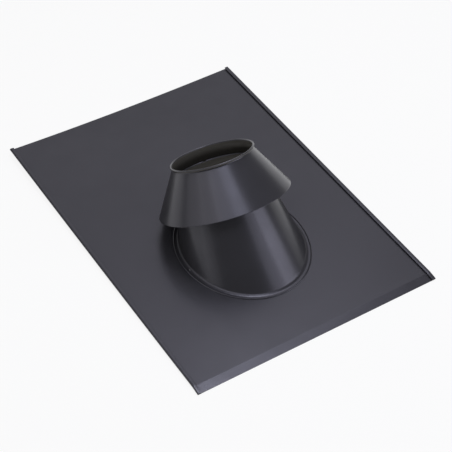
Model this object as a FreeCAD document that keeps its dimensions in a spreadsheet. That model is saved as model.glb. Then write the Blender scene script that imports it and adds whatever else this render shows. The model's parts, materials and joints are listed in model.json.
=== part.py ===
# Pipe flashing boot for a sloping roof, in painted sheet steel, in millimetres.
# A hemmed base plate lies on the roof. A leaning cone, the boot, is flanged to it round an oval
# hole and takes the pipe, and a storm collar held on three brackets sheds rain past its mouth.
# X runs across the slope, +Y up the slope and +Z away from the roof. The origin is under the
# middle of the plate, level with the lowest edge of its apron.
import FreeCAD, Part
import math
import os
import re

import Sketcher

doc = FreeCAD.newDocument("PipeFlashingBoot")

# Driving dimensions: name, value and what it sets.
DRIVING = [
    ("sheet", 0.7, "thickness of every sheet"),
    ("plate_width", 500, "base plate across the slope, over the hems"),
    ("plate_length", 700, "base plate up the slope"),
    ("hem_width", 8, "folded side hem, outside to free edge"),
    ("hem_height", 4, "folded side hem, underside to top"),
    ("apron_length", 17, "turned-down strip along the front edge"),
    ("apron_angle", 8, "degrees that the strip is turned down"),
    ("apron_bend", 4, "bend radius of the strip, on its underside"),
    ("axis_tilt", 31, "degrees that the pipe leans up the slope"),
    ("axis_setback", 274, "front edge to where the pipe axis meets the plate"),
    ("pipe_diameter", 150, "pipe that both mouths fit"),
    ("pipe_clearance", 0.5, "gap between the pipe and a mouth, all round"),
    ("mouth_land", 4, "straight wall below the curl of a mouth"),
    ("curl_diameter", 4, "curled edge of a mouth"),
    ("curl_turn", 110, "degrees that the curl turns past its outermost point"),
    ("boot_base", 221, "boot's diameter where its axis meets the plate"),
    ("boot_height", 136, "plate to the middle of the boot's curl, along the axis"),
    ("foot_flange", 8, "boot's flange on the plate, from the wall outwards"),
    ("foot_bend", 2.5, "bend radius between the boot and its flange"),
    ("hole_margin", 2, "plate's hole beyond the boot's wall"),
    ("collar_base", 250, "storm collar's diameter at its lower edge"),
    ("collar_clearance", 0.8, "plate to the rear of the storm collar's lower edge"),
    ("collar_lift", 27, "collar's curl above the boot's curl"),
    ("lap_width", 12, "overlap of a rolled sheet at its seam"),
    ("lap_inset", 8, "end of an overlap kept back from a bend"),
    ("boot_seam", 79, "degrees round the axis from +X to the boot's seam"),
    ("collar_seam", 135, "degrees round the axis from +X to the collar's seam"),
    ("bracket_width", 15, "bracket strip, round the boot"),
    ("bracket_sheet", 1, "thickness of a bracket strip"),
    ("bracket_leg", 13, "length of each leg of a bracket, along the axis"),
    ("bracket_drop", 24, "boot's curl down to a bracket's shelf"),
    ("bracket_turn", 5, "degrees round the axis from +X to the first bracket"),
    ("bracket_count", 3, "brackets, evenly spaced"),
    ("weld_gap", 0.1, "paint film between a bracket and a cone"),
]
sizes = doc.addObject("Spreadsheet::Sheet", "Sizes")
for row, (alias, value, note) in enumerate(DRIVING, start=1):
    sizes.set(f"A{row}", note)
    sizes.set(f"B{row}", str(value))
    sizes.setAlias(f"B{row}", alias)

# Worked-out dimensions, each a formula on the sheet and on the ones above it.
WORKED_OUT = [
    # Plate: the apron's drop, and the places of the rear edge and of the pipe axis.
    ("drop", "apron_length * sin(apron_angle) + apron_bend * (1 - cos(apron_angle))"),
    ("rear_edge", "(plate_length + hem_height * sin(apron_angle)) / 2"),
    ("axis_place", "rear_edge - plate_length + axis_setback"),
    ("hem_radius", "hem_height / 2"),
    # Both mouths: the wall's two faces and the middle of the curl.
    ("mouth_inside", "pipe_diameter / 2 + pipe_clearance"),
    ("mouth_outside", "mouth_inside + sheet"),
    ("curl_radius", "curl_diameter / 2"),
    ("curl_middle", "mouth_inside + curl_radius"),
    # Boot: a cone, taper being its loss of radius for each millimetre along the axis.
    ("boot_radius", "boot_base / 2"),
    ("boot_land", "boot_height - mouth_land"),
    ("boot_taper", "(boot_radius - mouth_outside) / boot_land"),
    ("boot_lean", "atan(boot_taper)"),
    ("boot_wall", "sheet / cos(boot_lean)"),
    # Foot: the plate cuts the cone in an ellipse, which reaches further down the slope.
    ("foot_front", "boot_radius * cos(boot_lean) / cos(axis_tilt + boot_lean)"),
    ("foot_rear", "boot_radius * cos(boot_lean) / cos(axis_tilt - boot_lean)"),
    ("foot_major", "(foot_front + foot_rear) / 2"),
    ("foot_place", "(foot_rear - foot_front) / 2"),
    ("foot_minor", "sqrt((boot_radius + foot_front * sin(axis_tilt) * boot_taper)"
                   " * (boot_radius - foot_rear * sin(axis_tilt) * boot_taper))"),
    # The cone is drawn down to a depth that the plate cuts off all round.
    ("boot_depth", "-foot_front"),
    ("boot_deep_radius", "boot_radius + foot_front * boot_taper"),
    # Collar: a wider cone round the same axis, whose lower edge comes nearest the plate up the slope.
    ("collar_rim", "boot_height + collar_lift"),
    ("collar_land", "collar_rim - mouth_land"),
    ("collar_radius", "collar_base / 2"),
    ("collar_edge", "(collar_radius * sin(axis_tilt) + collar_clearance) / cos(axis_tilt)"),
    ("collar_taper", "(collar_radius - mouth_outside) / (collar_land - collar_edge)"),
    ("collar_lean", "atan(collar_taper)"),
    ("collar_wall", "sheet / cos(collar_lean)"),
    # Seam of the boot: where it leaves the foot's bend.
    ("seam_slope", "sin(boot_seam) * sin(axis_tilt)"),
    ("seam_foot", "boot_radius * seam_slope / (cos(axis_tilt) + boot_taper * seam_slope)"),
]
layout = doc.addObject("App::VarSet", "Layout")
OWNERS = {alias: "Sizes" for alias, _, _ in DRIVING} | {name: "Layout" for name, _ in WORKED_OUT}


def full(formula):
    """The formula with each dimension's owner written before its name."""
    return re.sub(r"[a-z_]+", lambda m: f"{OWNERS[m[0]]}.{m[0]}" if m[0] in OWNERS else m[0], formula)


for name, formula in WORKED_OUT:
    layout.addProperty("App::PropertyFloat", name, "Layout")
    layout.setExpression(name, full(formula))
doc.recompute()


def measure(formula):
    return float(layout.evalExpression(full(formula)))


def spot(x, y):
    return FreeCAD.Vector(measure(x), measure(y), 0)


def new_body(label):
    body = doc.addObject("PartDesign::Body", label)
    body.Label = label
    return body


def new_sketch(body, name, role, turn=None, about=None):
    """A sketch on one of the body's origin planes, turned about one of its own axes."""
    sketch = body.newObject("Sketcher::SketchObject", name)
    plane = next(f for f in body.Origin.OriginFeatures if f.Role == role)
    sketch.AttachmentSupport = (plane, [""])
    sketch.MapMode = "FlatFace"
    if turn:
        rotation = FreeCAD.Rotation(about, measure(turn))
        sketch.AttachmentOffset = FreeCAD.Placement(FreeCAD.Vector(), rotation)
        sketch.setExpression("AttachmentOffset.Rotation.Angle", full(turn))
    return sketch


def tie(sketch, kind, *ends_and_formula):
    """Adds a constraint whose value follows a formula."""
    *ends, formula = ends_and_formula
    index = sketch.addConstraint(Sketcher.Constraint(kind, *ends, measure(formula)))
    sketch.setExpression(f"Constraints[{index}]", full(formula))


def link(sketch, kind, *ends):
    sketch.addConstraint(Sketcher.Constraint(kind, *ends))


def hold(sketch, line, end, x, y):
    """Ties a point to its place, by its distances from the sketch's two axes."""
    for kind, formula, axis in (("DistanceX", x, -2), ("DistanceY", y, -1)):
        if formula == "0":
            link(sketch, "PointOnObject", line, end, axis)
        elif measure(formula) < 0:
            tie(sketch, kind, line, end, -1, 1, f"-({formula})")
        else:
            tie(sketch, kind, -1, 1, line, end, formula)


def polygon(sketch, corners):
    """A closed outline of straight lines through the corners."""
    ends = corners[1:] + corners[:1]
    lines = [sketch.addGeometry(Part.LineSegment(spot(*a), spot(*b))) for a, b in zip(corners, ends)]
    for line, following, corner in zip(lines, lines[1:] + lines[:1], corners):
        link(sketch, "Coincident", line, 2, following, 1)
        hold(sketch, line, 1, *corner)


def oval(sketch, place, across, along):
    """An ellipse centred on the Y axis, longer along it."""
    centre = spot("0", place)
    shape = Part.Ellipse(centre + spot("0", along), centre + spot(across, "0"), centre)
    curve = sketch.addGeometry(shape)
    sketch.exposeInternalGeometry(curve)
    hold(sketch, curve, 3, "0", place)
    link(sketch, "Vertical", curve + 1)
    tie(sketch, "Distance", curve + 1, f"2 * ({along})")
    tie(sketch, "Distance", curve + 2, f"2 * ({across})")


def feature(body, kind, name, profile, **settings):
    made = body.newObject(f"PartDesign::{kind}", name)
    made.Profile = profile
    for setting, value in settings.items():
        setattr(made, setting, value)
    return made


def turned(body, kind, name, profile, angle=None):
    """Turns a profile about the body's Z axis, right round or through an angle centred on it."""
    made = feature(body, kind, name, profile, ReferenceAxis=(profile, ["V_Axis"]), Angle=360)
    if angle:
        made.Midplane = True
        made.setExpression("Angle", full(angle))
    return made


def bend(body, name, base, radius, chosen):
    """Rounds the edges of the base that the test chooses, given points in the plate's frame."""
    doc.recompute()
    names = []
    for number, edge in enumerate(base.Shape.Edges, start=1):
        points = [body.Placement.multVec(p) for p in edge.discretize(9)]
        if all(chosen(p) for p in points):
            names.append(f"Edge{number}")
    made = body.newObject("PartDesign::Fillet", name)
    made.Base = (base, names)
    made.Radius = measure(radius)
    made.setExpression("Radius", full(radius))
    return made


# ---- Base plate: one sheet with open hems folded along its sides and its front edge turned down.

plate = new_body("base_plate")
plate.setExpression("Placement.Base.y", full("rear_edge"))
plate.setExpression("Placement.Base.z", full("drop"))

section = new_sketch(plate, "FoldedSection", "XZ_Plane")
sides = []
for side, start, stop in (("", -90, 90), ("-", 90, 270)):
    middle = spot(f"{side}(plate_width / 2 - hem_radius)", "hem_radius")
    free_edge = spot(f"{side}(plate_width / 2 - hem_width)", "hem_height")
    span = [math.radians(start), math.radians(stop)]
    arcs = []
    for radius in ("hem_radius", "hem_radius - sheet"):
        circle = Part.Circle(middle, FreeCAD.Vector(0, 0, 1), measure(radius))
        arcs.append(section.addGeometry(Part.ArcOfCircle(circle, *span)))
    outer, inner = arcs
    low, high = (1, 2) if side == "" else (2, 1)
    rise = spot("0", "hem_radius")
    below = spot("0", "sheet")
    top = section.addGeometry(Part.LineSegment(middle + rise, free_edge))
    cap = section.addGeometry(Part.LineSegment(free_edge, free_edge - below))
    under = section.addGeometry(Part.LineSegment(free_edge - below, middle + rise - below))
    hold(section, outer, 3, f"{side}(plate_width / 2 - hem_radius)", "hem_radius")
    link(section, "Coincident", outer, 3, inner, 3)
    link(section, "Tangent", outer, high, top, 1)
    link(section, "Tangent", inner, high, under, 2)
    link(section, "Coincident", top, 2, cap, 1)
    link(section, "Coincident", cap, 2, under, 1)
    link(section, "Horizontal", top)
    link(section, "Horizontal", under)
    link(section, "Vertical", cap)
    sides.append((middle, outer, inner, low, cap))
right, left = sides
for radius, which, height in (("hem_radius", 1, "0"), ("hem_radius - sheet", 2, "sheet")):
    foot = spot("0", radius)
    line = section.addGeometry(Part.LineSegment(left[0] - foot, right[0] - foot))
    link(section, "Horizontal", line)
    link(section, "Tangent", left[which], left[3], line, 1)
    link(section, "Tangent", right[which], right[3], line, 2)
    if height == "0":
        link(section, "PointOnObject", line, 1, -1)
    else:
        tie(section, "DistanceY", -1, 1, line, 1, height)
tie(section, "DistanceX", -1, 1, right[4], 1, "plate_width / 2 - hem_width")
tie(section, "DistanceX", left[4], 1, -1, 1, "plate_width / 2 - hem_width")

path = new_sketch(plate, "PlatePath", "YZ_Plane")
bend_start = spot("-(plate_length - apron_length)", "0")
bend_angle = math.radians(measure("apron_angle"))
bend_middle = bend_start - spot("0", "apron_bend")
bend_circle = Part.Circle(bend_middle, FreeCAD.Vector(0, 0, 1), measure("apron_bend"))
run = path.addGeometry(Part.LineSegment(spot("0", "0"), bend_start))
turn_down = path.addGeometry(Part.ArcOfCircle(bend_circle, math.pi / 2, math.pi / 2 + bend_angle))
apron = path.addGeometry(Part.LineSegment(spot("-plate_length", "-drop"), bend_start))
link(path, "Coincident", run, 1, -1, 1)
link(path, "Horizontal", run)
link(path, "Tangent", run, 2, turn_down, 1)
link(path, "Tangent", turn_down, 2, apron, 2)
tie(path, "Radius", turn_down, "apron_bend")
tie(path, "Distance", apron, "apron_length")
tie(path, "Angle", apron, "apron_angle")
tie(path, "DistanceX", apron, 1, -1, 1, "plate_length")
feature(plate, "AdditivePipe", "FoldedSheet", section, Spine=(path, []))

hole = new_sketch(plate, "PipeHole", "XY_Plane")
oval(hole, "axis_place - rear_edge + foot_place", "foot_minor + hole_margin", "foot_major + hole_margin")
feature(plate, "Pocket", "PipeHoleCut", hole, Type="ThroughAll", Midplane=True)


# ---- Boot and collar: cones round the pipe's axis, each with a curled mouth. Their bodies stand
# where the axis meets the plate's top, with Z along the pipe.


def body_on_axis(label):
    body = new_body(label)
    body.Placement.Rotation = FreeCAD.Rotation(FreeCAD.Vector(-1, 0, 0), measure("axis_tilt"))
    body.setExpression("Placement.Base.y", full("axis_place"))
    body.setExpression("Placement.Base.z", full("drop + sheet"))
    body.setExpression("Placement.Rotation.Angle", full("axis_tilt"))
    return body


def outer_form(body, edge, edge_radius, land, rim):
    """The solid inside a cone's outer face, from its lower edge up to its mouth and curl."""
    form = new_sketch(body, "OuterProfile", "XZ_Plane")
    centre = spot("curl_middle", rim)
    mouth_top = spot("mouth_outside", rim)
    curl_span = (-math.radians(measure("curl_turn")), math.pi)
    axis = FreeCAD.Vector(0, 0, 1)
    corners = [("0", rim), ("0", edge), (edge_radius, edge), ("mouth_outside", land)]
    ends = [spot(*corner) for corner in corners] + [mouth_top]
    walls = [form.addGeometry(Part.LineSegment(a, b)) for a, b in zip(ends, ends[1:])]
    inner, outer = [
        form.addGeometry(Part.ArcOfCircle(Part.Circle(centre, axis, measure(radius)), *curl_span))
        for radius in ("curl_radius - sheet", "curl_radius")
    ]
    tip = form.addGeometry(Part.LineSegment(form.getPoint(outer, 1), form.getPoint(inner, 1)))
    lid = form.addGeometry(Part.LineSegment(form.getPoint(outer, 2), spot("0", rim)))
    for line, following in zip(walls, walls[1:]):
        link(form, "Coincident", line, 2, following, 1)
    for line, corner in zip(walls, corners):
        hold(form, line, 1, *corner)
    wall = walls[-1]
    hold(form, outer, 3, "curl_middle", rim)
    link(form, "Coincident", inner, 3, outer, 3)
    link(form, "Vertical", wall)
    link(form, "Coincident", wall, 2, inner, 2)
    link(form, "Horizontal", wall, 2, inner, 3)
    link(form, "Coincident", inner, 1, tip, 2)
    link(form, "Coincident", outer, 1, tip, 1)
    link(form, "PointOnObject", outer, 3, tip)
    tie(form, "Angle", tip, "180 - curl_turn")
    tie(form, "Radius", outer, "curl_radius")
    link(form, "Coincident", outer, 2, lid, 1)
    link(form, "Horizontal", lid)
    link(form, "Coincident", lid, 2, walls[0], 1)
    return turned(body, "Revolution", "OuterForm", form)


def hollow(body, edge, edge_radius, land, rim):
    """Cuts away what lies inside a cone's inner face."""
    space = new_sketch(body, "InnerProfile", "XZ_Plane")
    above = f"{rim} + curl_diameter"
    polygon(space, [("0", edge), (edge_radius, edge), ("mouth_inside", land),
                    ("mouth_inside", above), ("0", above)])
    return turned(body, "Groove", "Hollow", space)


def lap(body, seam, foot, foot_radius, head, head_radius, wall):
    """The outer end of the rolled sheet, lying over the cone along its seam."""
    strip = new_sketch(body, "LapProfile", "XZ_Plane", turn=seam, about=FreeCAD.Vector(0, 1, 0))
    polygon(strip, [(f"{foot_radius} - {wall} / 2", foot), (f"{foot_radius} + {wall}", foot),
                    (f"{head_radius} + {wall}", head), (f"{head_radius} - {wall} / 2", head)])
    return turned(body, "Revolution", "Lap", strip, f"lap_width / ({foot_radius}) * 180 / pi")


boot = body_on_axis("boot_cone")
outer_form(boot, "boot_depth", "boot_deep_radius", "boot_land", "boot_height")

# The plate's top face cuts the cone off, and the flange spreads from the cut.
cut = new_sketch(boot, "PlateFace", "XY_Plane", turn="axis_tilt", about=FreeCAD.Vector(1, 0, 0))
reach = "2 * boot_base"
polygon(cut, [(f"-{reach}", f"-{reach}"), (reach, f"-{reach}"), (reach, reach), (f"-{reach}", reach)])
feature(boot, "Pocket", "FootCut", cut, Type="ThroughAll")
flange = new_sketch(boot, "FlangeOutline", "XY_Plane", turn="axis_tilt", about=FreeCAD.Vector(1, 0, 0))
oval(flange, "foot_place", "foot_minor + foot_flange", "foot_major + foot_flange")
foot_form = feature(boot, "Pad", "Flange", flange)
foot_form.setExpression("Length", full("sheet"))


def in_foot_bend(height):
    """A test for the edge at this height where the cone meets its flange."""
    level = measure("drop + sheet") + height
    centre = measure("axis_place + foot_place")
    across, along = (measure(f"{half} + foot_flange / 2") for half in ("foot_minor", "foot_major"))

    def chosen(p):
        inside = (p.x / across) ** 2 + ((p.y - centre) / along) ** 2 < 1
        return inside and abs(p.z - level) < measure("sheet") / 10

    return chosen


bend(boot, "FootBend", foot_form, "foot_bend", in_foot_bend(measure("sheet")))
boot_hollow = hollow(boot, "boot_depth", "boot_deep_radius - boot_wall", "boot_land", "boot_height")
bend(boot, "FootBendInside", boot_hollow, "foot_bend + sheet", in_foot_bend(0))
lap(boot, "boot_seam", "seam_foot + lap_inset", "boot_radius - boot_taper * (seam_foot + lap_inset)",
    "boot_land - lap_inset", "mouth_outside + boot_taper * lap_inset", "boot_wall")

collar = body_on_axis("storm_collar")
outer_form(collar, "collar_edge", "collar_radius", "collar_land", "collar_rim")
hollow(collar, "collar_edge", "collar_radius - collar_wall", "collar_land", "collar_rim")
lap(collar, "collar_seam", "collar_edge", "collar_radius",
    "collar_land - lap_inset", "mouth_outside + collar_taper * lap_inset", "collar_wall")


# ---- Brackets: bent strips welded to the outside of the boot and the inside of the collar.


def boot_face(height):
    return f"boot_radius - boot_taper * ({height}) + weld_gap"


def collar_face(height):
    return f"collar_radius - collar_wall - collar_taper * ({height} - collar_edge) - weld_gap"


brackets = []
for number in range(round(measure("bracket_count"))):
    bracket = body_on_axis(f"collar_bracket_{number + 1}")
    turn = f"bracket_turn + {number} * 360 / bracket_count"
    strip = new_sketch(bracket, "BracketProfile", "XZ_Plane", turn=turn, about=FreeCAD.Vector(0, 1, 0))
    shelf = "boot_height - bracket_drop"
    head, foot, under = f"{shelf} + bracket_leg", f"{shelf} - bracket_leg", f"{shelf} - bracket_sheet"
    polygon(strip, [
        (boot_face(head), head),
        (f"{boot_face(head)} + bracket_sheet", head),
        (f"{boot_face(shelf)} + bracket_sheet", shelf),
        (collar_face(shelf), shelf),
        (collar_face(foot), foot),
        (f"{collar_face(foot)} - bracket_sheet", foot),
        (f"{collar_face(under)} - bracket_sheet", under),
        (boot_face(under), under),
    ])
    turned(bracket, "Revolution", "Strip", strip, f"bracket_width / ({boot_face(shelf)}) * 180 / pi")
    brackets.append(bracket)
doc.recompute()

# ---- Check every object, then write one file for each sub-part.

for item in doc.Objects:
    if {"Invalid", "Error"} & set(item.State):
        raise RuntimeError(f"{item.Name} failed: {item.State}")
os.makedirs("parts", exist_ok=True)
for part in [plate, boot, collar, *brackets]:
    shape = part.Shape
    if shape.isNull() or not shape.isValid() or len(shape.Solids) != 1:
        raise RuntimeError(f"{part.Label} has no valid single solid")
    shape.exportStep(f"parts/{part.Label}.step")
    print(f"{part.Label}: {shape.Volume:.0f} mm3")
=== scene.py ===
import bmesh
import bpy
import json
import math
from mathutils import Matrix, Vector


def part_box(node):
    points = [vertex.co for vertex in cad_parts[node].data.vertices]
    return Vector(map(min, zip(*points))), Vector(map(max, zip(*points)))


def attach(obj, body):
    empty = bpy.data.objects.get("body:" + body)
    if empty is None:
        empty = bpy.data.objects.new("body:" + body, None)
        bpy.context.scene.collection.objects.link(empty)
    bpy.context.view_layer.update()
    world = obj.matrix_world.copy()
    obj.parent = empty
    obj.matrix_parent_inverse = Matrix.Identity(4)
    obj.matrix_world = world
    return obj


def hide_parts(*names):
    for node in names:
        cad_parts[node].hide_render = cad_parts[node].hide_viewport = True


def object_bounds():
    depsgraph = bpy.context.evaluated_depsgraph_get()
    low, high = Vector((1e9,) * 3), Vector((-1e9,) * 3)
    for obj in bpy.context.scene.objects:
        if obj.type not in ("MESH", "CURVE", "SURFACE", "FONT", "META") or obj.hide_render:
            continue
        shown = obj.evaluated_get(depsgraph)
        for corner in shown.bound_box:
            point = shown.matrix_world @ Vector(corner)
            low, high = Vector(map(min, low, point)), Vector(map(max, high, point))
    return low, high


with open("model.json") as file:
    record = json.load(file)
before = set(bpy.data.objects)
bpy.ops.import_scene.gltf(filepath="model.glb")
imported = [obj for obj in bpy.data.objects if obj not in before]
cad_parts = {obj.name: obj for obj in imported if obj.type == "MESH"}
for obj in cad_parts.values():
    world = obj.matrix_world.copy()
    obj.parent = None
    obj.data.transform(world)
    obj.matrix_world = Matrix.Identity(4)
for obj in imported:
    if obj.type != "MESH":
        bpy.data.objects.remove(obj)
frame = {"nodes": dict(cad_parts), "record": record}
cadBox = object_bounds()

mm = 0.001
samePoint = 1e-6         # m, points nearer than this are one
onPlane = 1e-7           # m, the same for the fine cuts through the boot
scene = bpy.context.scene
mounts = {mount["name"]: mount for mount in frame["record"]["mounts"]}
sheet = 0.7 * mm         # thickness of every wall
plateTop = mounts["roof_face"]["pos_m"][2] + sheet
pipeAxis = Vector(mounts["boot_mouth"]["axis"])
mouthRadius = mounts["boot_mouth"]["dims"]["r_mm"]    # in mm, as the outlines below
mouthHalf = mounts["boot_mouth"]["dims"]["length_mm"] / 2

# Paint: satin anthracite, a little uneven, with the fine skin of a coil coating.

paintLook = {
    "base": (0.026, 0.0255, 0.0285),
    "deep": (0.021, 0.0205, 0.0230),
    "cloudScale": 3.2,                # slow drift between the two shades, per metre
    "cloudSpread": (0.35, 0.65),
    "glossScale": 28.8,
    "glossSpread": (0.3, 0.7),
    "roughLow": 0.30,
    "roughHigh": 0.37,
    "waveScale": 5.0,                 # flat sheet is never quite flat
    "waveHeight": 0.25 * mm,
    "grainScale": 950.0,
    "grainHeight": 0.012 * mm,
    "specular": 0.5,
    "specularTint": (0.87, 0.86, 1.0),
    "coat": 0.15,
    "coatRough": 0.16,
}
coneLook = {                          # rolled sheet: no waves, and a little glossier
    "waveHeight": 0.0,
    "roughLow": 0.28,
    "roughHigh": 0.33,
}
insidePaintedLightLook = {                        # back of the sheet: dull, with a lighter, warmer colour that is painted light, standing in for the warm light inside the cones
    "base": (0.064, 0.059, 0.049),
    "deep": (0.050, 0.046, 0.038),
    "waveHeight": 0.0,
    "roughLow": 0.48,
    "roughHigh": 0.60,
    "specularTint": (1.0, 1.0, 1.0),
    "coat": 0.0,
}


def satinPaint(name, centredAt, **changes):
    look = {**paintLook, **changes}
    paint = bpy.data.materials.new(name)
    paint.use_nodes = True
    nodes, links = paint.node_tree.nodes, paint.node_tree.links
    shader = nodes["Principled BSDF"]
    shader.inputs["Specular IOR Level"].default_value = look["specular"]
    shader.inputs["Specular Tint"].default_value = (*look["specularTint"], 1)
    shader.inputs["Coat Weight"].default_value = look["coat"]
    shader.inputs["Coat Roughness"].default_value = look["coatRough"]
    where = nodes.new("ShaderNodeTexCoord")
    centre = nodes.new("ShaderNodeMapping")
    centre.inputs["Location"].default_value = centredAt
    links.new(where.outputs["Object"], centre.inputs["Vector"])

    def noise(scale, detail):
        made = nodes.new("ShaderNodeTexNoise")
        made.inputs["Scale"].default_value = scale
        made.inputs["Detail"].default_value = detail
        links.new(centre.outputs["Vector"], made.inputs["Vector"])
        return made.outputs["Fac"]

    shade = nodes.new("ShaderNodeValToRGB")
    stops = zip(shade.color_ramp.elements, look["cloudSpread"], (look["deep"], look["base"]))
    for stop, position, colour in stops:
        stop.position = position
        stop.color = (*colour, 1)
    links.new(noise(look["cloudScale"], 3.0), shade.inputs["Fac"])
    links.new(shade.outputs["Color"], shader.inputs["Base Color"])

    dull = nodes.new("ShaderNodeMapRange")
    dull.inputs["From Min"].default_value = look["glossSpread"][0]
    dull.inputs["From Max"].default_value = look["glossSpread"][1]
    dull.inputs["To Min"].default_value = look["roughLow"]
    dull.inputs["To Max"].default_value = look["roughHigh"]
    links.new(noise(look["glossScale"], 4.0), dull.inputs["Value"])
    links.new(dull.outputs["Result"], shader.inputs["Roughness"])

    normal = None
    for scale, height in (("waveScale", "waveHeight"), ("grainScale", "grainHeight")):
        relief = nodes.new("ShaderNodeBump")
        relief.inputs["Strength"].default_value = 1.0
        relief.inputs["Distance"].default_value = look[height]
        links.new(noise(look[scale], 2.0), relief.inputs["Height"])
        if normal:
            links.new(normal, relief.inputs["Normal"])
        normal = relief.outputs["Normal"]
    links.new(normal, shader.inputs["Normal"])
    return paint


platePaint = satinPaint("platePaint", (0.3, 0.1, 0.0))
bootPaint = satinPaint("bootPaint", (1.3, 0.6, 0.2), **coneLook)
collarPaint = satinPaint("collarPaint", (2.1, 0.2, 0.7), **coneLook)
bracketPaint = satinPaint("bracketPaint", (0.0, 2.0, 1.0), waveHeight=0.0)
# Back of every cone sheet: painted light, a lighter and warmer colour for the warm light seen
# inside the cones.
insidePaintedLight = satinPaint("insidePaintedLight", (0.9, 1.4, 0.3), **insidePaintedLightLook)
print("paints ready")

# Shared work on sheet pieces. An outline runs through (radius, height) points in mm, its height
# measured along the pipe's axis from the middle of a mouth.


def spunSheet(outline, turn=math.tau, seam=0.0, steps=240):
    bm = bmesh.new()
    points = [bm.verts.new((radius * mm, 0, height * mm)) for radius, height in outline]
    line = [bm.edges.new(pair) for pair in zip(points, points[1:])]
    closed = turn == math.tau
    start = Matrix.Rotation(math.radians(seam) - (0 if closed else turn / 2), 3, "Z")
    bmesh.ops.rotate(bm, verts=points, cent=(0, 0, 0), matrix=start)
    bmesh.ops.spin(bm, geom=points + line, cent=(0, 0, 0), axis=(0, 0, 1), angle=turn,
                   steps=steps, use_merge=closed)
    bmesh.ops.remove_doubles(bm, verts=bm.verts, dist=samePoint)
    bmesh.ops.recalc_face_normals(bm, faces=bm.faces)
    widest = max(bm.faces, key=lambda face: face.calc_area())
    middle = widest.calc_center_median()
    if widest.normal.dot(Vector((middle.x, middle.y, 0))) > 0:
        bmesh.ops.reverse_faces(bm, faces=bm.faces)     # towards the axis, as thicken needs
    for face in bm.faces:
        face.material_index = int(face.calc_center_median().z < mouthHalf * mm)
    return bm


def straightWall(low, high, hold=1.5):
    # A point close to each end keeps the shading straight in between.
    (lowRadius, lowHeight), (highRadius, highHeight) = low, high
    share = hold / math.hypot(highRadius - lowRadius, highHeight - lowHeight)
    return [(lowRadius + (highRadius - lowRadius) * k, lowHeight + (highHeight - lowHeight) * k)
            for k in (0, share, 1 - share, 1)]


def curl(radius, turnPast, steps=20):
    turns = [math.radians(180 - (180 + turnPast) * k / steps) for k in range(steps + 1)]
    centre = mouthRadius + radius
    return [(centre + radius * math.cos(t), mouthHalf + radius * math.sin(t)) for t in turns]


def standOnAxis(bm, mountName):
    tilt = Vector((0, 0, 1)).rotation_difference(pipeAxis).to_matrix().to_4x4()
    place = Matrix.Translation(mounts[mountName]["pos_m"]) @ tilt
    bmesh.ops.transform(bm, matrix=place, verts=bm.verts)


def cutAcross(bm, point, way, dist=samePoint, **options):
    bmesh.ops.bisect_plane(bm, geom=bm.verts[:] + bm.edges[:] + bm.faces[:], dist=dist,
                           plane_co=point, plane_no=way, **options)


def thicken(bm, cutEdge=0.12 * mm, squareFrom=60):
    mesh = bpy.data.meshes.new("bareSheet")
    bm.to_mesh(mesh)
    bm.free()
    for slotNumber in range(2):         # Solidify needs both paint slots to be there
        mesh.materials.append(None)
    bare = bpy.data.objects.new("bareSheet", mesh)
    scene.collection.objects.link(bare)
    wall = bare.modifiers.new("wall", "SOLIDIFY")
    wall.thickness = sheet
    wall.offset = -1
    # The inner side takes the second paint, the painted warm light on the back of the sheet.
    wall.material_offset = -1           # the outer side and the edges take the first paint
    wall.material_offset_rim = -1
    wall.use_even_offset = True
    wall.use_quality_normals = True
    thick = bmesh.new()
    thick.from_mesh(bare.evaluated_get(bpy.context.evaluated_depsgraph_get()).to_mesh())
    bpy.data.objects.remove(bare)
    square = math.radians(squareFrom)
    corners = [edge for edge in thick.edges if edge.calc_face_angle(0) > square]
    bmesh.ops.bevel(thick, geom=corners, offset=cutEdge, segments=2, profile=0.5,
                    affect="EDGES", material=-1)
    return thick


def storePiece(name, bm, paints, sharpFrom=38):
    for face in bm.faces:
        face.smooth = True
    for edge in bm.edges:
        edge.smooth = edge.calc_face_angle(0) < math.radians(sharpFrom)
    mesh = bpy.data.meshes.new(name)
    bm.to_mesh(mesh)
    bm.free()
    for paint in paints:
        mesh.materials.append(paint)
    piece = bpy.data.objects.new(name, mesh)
    scene.collection.objects.link(piece)
    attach(piece, "root")
    return piece


# Base plate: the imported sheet, with the slight wind that a thin sheet of this size takes.

plateShape = {
    "lift": 9.0 * mm,        # rear left corner off the roof
    "liftCurve": (2.5, 2),   # how late it starts to rise, across and up the plate
    "sag": 1.6 * mm,         # middle of the rear edge, towards the roof
    "sagCurve": 3,
    "flatTo": 1.15,          # flat out to this many times the boot's foot
    "windTo": 2.0,
    "flatWithin": 0.2,       # degrees, faces nearer to level than this are made one
    "gridStep": 20 * mm,
    "hemWidth": 8 * mm,
    "hemCrown": 0.5 * mm,    # bulge of the folded-over leg of a hem
    "hemCuts": 4,
    "legAbove": 1.2 * mm,    # that leg lies higher over the plate than this
    "sharpFrom": 30,
}
footMiddle, footHalf = (0.0, -0.0964), (0.1199, 0.1401)    # oval of the flange's edge


def easeIn(value, low, high):
    part = min(max((value - low) / (high - low), 0), 1)
    return part * part * (3 - 2 * part)


def windAt(x, y, box):
    (lowX, lowY, _), (highX, highY, _) = box
    side = (highX - x) / (highX - lowX)
    up = (y - lowY) / (highY - lowY)
    away = math.hypot((x - footMiddle[0]) / footHalf[0], (y - footMiddle[1]) / footHalf[1])
    middle = 1 - (2 * side - 1) ** 2
    sideCurve, upCurve = plateShape["liftCurve"]
    wind = (plateShape["lift"] * side ** sideCurve * up ** upCurve
            - plateShape["sag"] * middle * up ** plateShape["sagCurve"])
    return wind * easeIn(away, plateShape["flatTo"], plateShape["windTo"])


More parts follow.
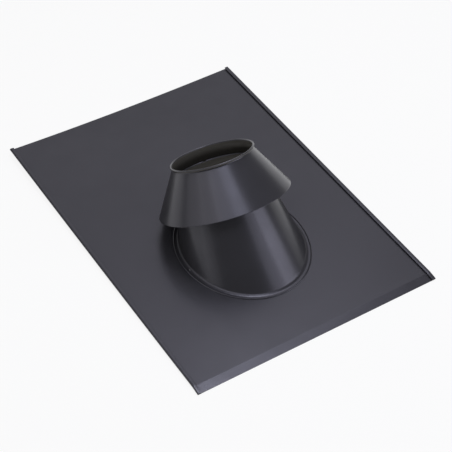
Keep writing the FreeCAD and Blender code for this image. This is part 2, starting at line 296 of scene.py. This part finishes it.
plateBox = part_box("base_plate")
plate = bmesh.new()
plate.from_mesh(frame["nodes"]["base_plate"].data)
bmesh.ops.remove_doubles(plate, verts=plate.verts, dist=samePoint)
bmesh.ops.dissolve_limit(plate, angle_limit=math.radians(plateShape["flatWithin"]),
                         verts=plate.verts, edges=plate.edges)
for axisIndex in (0, 1):
    low, high = plateBox[0][axisIndex], plateBox[1][axisIndex]
    count = round((high - low) / plateShape["gridStep"])
    along = Vector((axisIndex == 0, axisIndex == 1, 0))
    for k in range(1, count):
        cutAcross(plate, along * (low + (high - low) * k / count), along)
hemStart = plateBox[1][0] - plateShape["hemWidth"]
for side in (-1, 1):
    for k in range(1, plateShape["hemCuts"] + 1):
        hemCut = hemStart + plateShape["hemWidth"] * k / (plateShape["hemCuts"] + 2)
        cutAcross(plate, (side * hemCut, 0, 0), (1, 0, 0))
for vert in plate.verts:
    across = (abs(vert.co.x) - hemStart) / plateShape["hemWidth"]
    if across > 0 and vert.co.z > plateTop + plateShape["legAbove"]:
        vert.co.z += plateShape["hemCrown"] * math.sin(math.pi * min(across, 1))
    vert.co.z += windAt(vert.co.x, vert.co.y, plateBox)
bmesh.ops.triangulate(plate, faces=plate.faces)
basePlate = storePiece("basePlate", plate, [platePaint], plateShape["sharpFrom"])
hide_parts("base_plate")
print("base plate:", len(basePlate.data.polygons), "faces")

# Boot: a leaning cone with a curled mouth, spread into a flange where the plate cuts it.

bootShape = {
    "taper": 0.25985,        # loss of radius for each mm along the axis
    "drawnTo": -304,         # below the plate all round
    "curl": 2.0,
    "curlPast": 110,
    "bend": 4.5 * mm,        # along the wall and along the flange
    "bendSteps": 8,
    "straightFrom": 1.4,     # bends above the plate: the wall's shading is straight from there
    # Flange from the wall outwards: steps out and up, the last ones its rolled edge.
    "flange": [(7.6, 0.0), (0.3, 0.45), (0.6, 0.25), (0.6, -0.35), (0.2, -0.35)],
    "joint": 182,            # where the flange's two ends meet, degrees from +X
    "jointStart": 0.95,      # of the way out from the foot's middle to the flange's edge
    "jointGap": 2.2 * mm,
    "jointReach": 5 * mm,    # to either side, for the cuts
    "jointKick": 1.0 * mm,   # one end stands up a little, over the length below
    "kickLength": 4 * mm,
    "kickReach": 8 * mm,
    "seam": 79,
    "lapWidth": 12,
    "lapProud": 0.75,
    "notch": 2.4,            # half of the gap in the curl at the seam, degrees
    "lapFrom": -69,
    "lapTo": -10,
}
bootFoot = mouthRadius - bootShape["taper"] * (bootShape["drawnTo"] + mouthHalf)
boot = spunSheet(straightWall((bootFoot, bootShape["drawnTo"]), (mouthRadius, -mouthHalf))
                 + curl(bootShape["curl"], bootShape["curlPast"]))
seamTurn = math.radians(bootShape["seam"])
seamWay = Vector((math.cos(seamTurn), math.sin(seamTurn), 0))
notch = []
for face in boot.faces:
    middle = face.calc_center_median()
    aside = math.degrees(Vector((middle.x, middle.y, 0)).angle(seamWay))
    if middle.z > mouthHalf * mm and aside < bootShape["notch"]:
        notch.append(face)
bmesh.ops.delete(boot, geom=notch, context="FACES")
standOnAxis(boot, "boot_mouth")
cutAcross(boot, (0, 0, plateTop), (0, 0, 1), onPlane, clear_inner=True)
rootLine = [edge for edge in boot.edges if edge.is_boundary
            and all(abs(vert.co.z - plateTop) < samePoint for vert in edge.verts)]
outerLine = rootLine
for outwards, upwards in bootShape["flange"]:
    spread = bmesh.ops.extrude_edge_only(boot, edges=outerLine)["geom"]
    outerLine = [item for item in spread
                 if isinstance(item, bmesh.types.BMEdge) and item.is_boundary]
    for vert in {vert for edge in outerLine for vert in edge.verts}:
        way = Vector(((vert.co.x - footMiddle[0]) / footHalf[0] ** 2,
                      (vert.co.y - footMiddle[1]) / footHalf[1] ** 2, 0)).normalized()
        vert.co += (way * outwards + Vector((0, 0, upwards))) * mm
bmesh.ops.bevel(boot, geom=rootLine, offset=bootShape["bend"], segments=bootShape["bendSteps"],
                profile=0.5, affect="EDGES", material=-1)
wallStart = plateTop + bootShape["bend"] * bootShape["straightFrom"]
cutAcross(boot, (0, 0, wallStart), (0, 0, 1), onPlane)

jointTurn = math.radians(bootShape["joint"])
jointWay = Vector((math.cos(jointTurn), math.sin(jointTurn), 0))
jointSide = Vector((-jointWay.y, jointWay.x, 0))
footCentre = Vector((*footMiddle, plateTop))


def flangeFaces(within):
    found = []
    for face in boot.faces:
        out = face.calc_center_median() - footCentre
        beyond = math.hypot(out.x / footHalf[0], out.y / footHalf[1]) > bootShape["jointStart"]
        if beyond and out.dot(jointWay) > 0 and abs(out.dot(jointSide)) < within:
            found.append(face)
    return found


for side in (-1, 1):
    near = flangeFaces(bootShape["jointReach"])
    around = {edge for face in near for edge in face.edges}
    corners = {vert for face in near for vert in face.verts}
    bmesh.ops.bisect_plane(boot, geom=near + list(around) + list(corners), dist=samePoint,
                           plane_co=footCentre + jointSide * side * bootShape["jointGap"] / 2,
                           plane_no=jointSide)
bmesh.ops.delete(boot, geom=flangeFaces(bootShape["jointGap"] / 2), context="FACES")
for vert in {vert for face in flangeFaces(bootShape["kickReach"]) for vert in face.verts}:
    along = (vert.co - footCentre).dot(jointSide)
    if along > 0:
        kick = 1 - easeIn(along, bootShape["jointGap"] / 2, bootShape["kickLength"])
        vert.co.z += bootShape["jointKick"] * kick
bootCone = storePiece("bootCone", thicken(boot), [bootPaint, insidePaintedLight])
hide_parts("boot_cone")


def lapStrip(name, shape, taper, mountName, paint, steps=8):
    ends = [(mouthRadius - taper * (height + mouthHalf) + shape["lapProud"], height)
            for height in (shape["lapFrom"], shape["lapTo"])]
    strip = spunSheet(straightWall(*ends), shape["lapWidth"] / ends[0][0], shape["seam"], steps)
    standOnAxis(strip, mountName)
    return storePiece(name, thicken(strip), [paint, insidePaintedLight])


bootLap = lapStrip("bootLap", bootShape, bootShape["taper"], "boot_mouth", bootPaint)
print("boot:", len(bootCone.data.polygons), "faces")

# Storm collar: a wider cone above it, on the same axis.

collarShape = {
    "edge": -84.96,
    "edgeRadius": 124.19,
    "curl": 2.0,
    "curlPast": 110,
    "seam": 135,
    "lapWidth": 12,
    "lapProud": 0.75,
    "lapFrom": -84.5,
    "lapTo": -10,
}
collarTaper = (collarShape["edgeRadius"] - mouthRadius) / (-mouthHalf - collarShape["edge"])
collar = spunSheet(straightWall((collarShape["edgeRadius"], collarShape["edge"]),
                                (mouthRadius, -mouthHalf))
                   + curl(collarShape["curl"], collarShape["curlPast"]))
standOnAxis(collar, "collar_mouth")
stormCollar = storePiece("stormCollar", thicken(collar), [collarPaint, insidePaintedLight])
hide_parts("storm_collar")
collarLap = lapStrip("collarLap", collarShape, collarTaper, "collar_mouth", collarPaint)
print("storm collar:", len(stormCollar.data.polygons), "faces")

# Brackets between the two cones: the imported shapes, painted.

for name, node in frame["nodes"].items():
    if name.startswith("collar_bracket"):
        node.data.materials.clear()
        node.data.materials.append(bracketPaint)

# Floor, lamps and camera.

room = {
    "floor": (0.80, 0.80, 0.80),
    "floorDrop": 0.2 * mm,   # under the part
    "reach": 12,             # of the floor, which ends in a low wall all round
    "wallHeight": 1.5,
    "floorShows": 0.12,      # share of real shade in the floor that the camera sees
    "world": 0.22,
    "target": (0, -0.05, 0.06),
    # name: direction from the target, distance, width, height, watts, colour
    "lamps": {
        "overheadBox": ((0.0, -0.27, 0.96), 2.2, 0.8, 0.8, 6.6, (0.84, 0.86, 1.0)),
        "overheadLeft": ((-0.36, -0.15, 0.92), 2.2, 0.8, 0.8, 3.9, (0.90, 0.90, 1.0)),
        "topBox": ((0.15, 0.10, 0.98), 2.0, 0.45, 0.45, 7.5, (0.88, 0.89, 1.0)),
        "rearHigh": ((0.30, 0.26, 0.92), 1.8, 0.7, 0.7, 3.5, (0.86, 0.87, 1.0)),
        "frontBox": ((0.70, -0.57, 0.43), 2.2, 1.0, 0.8, 7.8, (0.88, 0.88, 1.0)),
        "frontLow": ((0.38, -0.72, 0.58), 2.2, 1.1, 0.9, 5.2, (0.88, 0.88, 1.0)),
        "leftBox": ((-0.64, 0.04, 0.77), 2.2, 1.0, 1.0, 3.6, (0.98, 0.97, 1.0)),
        "leftRear": ((-0.80, 0.32, 0.50), 2.2, 1.0, 1.0, 2.4, (1.0, 0.98, 1.0)),
        "leftLow": ((-0.95, -0.05, 0.15), 2.2, 1.0, 0.6, 0.9, (1.0, 1.0, 1.0)),
        "rearBox": ((0.377, 0.596, 0.709), 2.4, 1.6, 1.6, 6.2, (0.94, 0.93, 1.0)),
    },
}
floorMesh = bmesh.new()
bmesh.ops.create_circle(floorMesh, cap_ends=True, radius=room["reach"], segments=96)
rim = [edge for edge in floorMesh.edges if edge.is_boundary]
raised = bmesh.ops.extrude_edge_only(floorMesh, edges=rim)["geom"]
bmesh.ops.translate(floorMesh, vec=(0, 0, room["wallHeight"]),
                    verts=[item for item in raised if isinstance(item, bmesh.types.BMVert)])
bmesh.ops.translate(floorMesh, verts=floorMesh.verts,
                    vec=(0, 0, cadBox[0][2] - room["floorDrop"]))
floorData = bpy.data.meshes.new("floor")
floorMesh.to_mesh(floorData)
floorMesh.free()
floor = bpy.data.objects.new("floor", floorData)
scene.collection.objects.link(floor)

# The floor is pale to the camera and in reflections, and keeps a share of its real shade.
floorPaint = bpy.data.materials.new("floorPaint")
floorPaint.use_nodes = True
nodes, links = floorPaint.node_tree.nodes, floorPaint.node_tree.links
matt = nodes["Principled BSDF"]
matt.inputs["Base Color"].default_value = (*room["floor"], 1)
matt.inputs["Roughness"].default_value = 0.9
matt.inputs["Specular IOR Level"].default_value = 0.1
pale = nodes.new("ShaderNodeEmission")
ray = nodes.new("ShaderNodeLightPath")
shown = ray.outputs["Is Camera Ray"]
for kind in ("Is Glossy Ray", "Is Transmission Ray"):
    either = nodes.new("ShaderNodeMath")
    either.operation = "MAXIMUM"
    links.new(shown, either.inputs[0])
    links.new(ray.outputs[kind], either.inputs[1])
    shown = either.outputs["Value"]
share = nodes.new("ShaderNodeMath")
share.operation = "MULTIPLY"
share.inputs[1].default_value = 1 - room["floorShows"]
mixed = nodes.new("ShaderNodeMixShader")
links.new(shown, share.inputs[0])
links.new(share.outputs["Value"], mixed.inputs["Fac"])
links.new(matt.outputs["BSDF"], mixed.inputs[1])
links.new(pale.outputs["Emission"], mixed.inputs[2])
links.new(mixed.outputs["Shader"], nodes["Material Output"].inputs["Surface"])
floorData.materials.append(floorPaint)

world = scene.world or bpy.data.worlds.new("studio")
scene.world = world
world.use_nodes = True
nodes, links = world.node_tree.nodes, world.node_tree.links
nodes.clear()
around = nodes.new("ShaderNodeBackground")
around.inputs["Color"].default_value = (1, 1, 1, 1)
around.inputs["Strength"].default_value = room["world"]
result = nodes.new("ShaderNodeOutputWorld")
links.new(around.outputs["Background"], result.inputs["Surface"])

target = Vector(room["target"])
for name, (way, distance, width, height, watts, colour) in room["lamps"].items():
    lamp = bpy.data.lights.new(name, "AREA")
    lamp.shape = "RECTANGLE"
    lamp.size, lamp.size_y = width, height
    lamp.energy = watts
    lamp.color = colour
    holder = bpy.data.objects.new(name, lamp)
    scene.collection.objects.link(holder)
    holder.location = target + Vector(way).normalized() * distance
    holder.rotation_euler = (holder.location - target).to_track_quat("Z", "Y").to_euler()

view = {                     # where the camera stands and how it is turned
    "eye": (-1.042923, -1.690651, 1.967086),
    "right": (0.847004, -0.531577, 0.003203),
    "up": (0.375009, 0.601780, 0.705145),
    "back": (-0.376766, -0.596059, 0.709056),
    "lens": 118.979,
    "sensor": 36,
}
lensBody = bpy.data.cameras.new("camera")
lensBody.lens = view["lens"]
lensBody.sensor_width = view["sensor"]
camera = bpy.data.objects.new("camera", lensBody)
scene.collection.objects.link(camera)
turned = Matrix((view["right"], view["up"], view["back"])).transposed().to_4x4()
camera.matrix_world = Matrix.Translation(view["eye"]) @ turned
scene.camera = camera
scene.view_settings.view_transform = "Standard"
print("room ready")
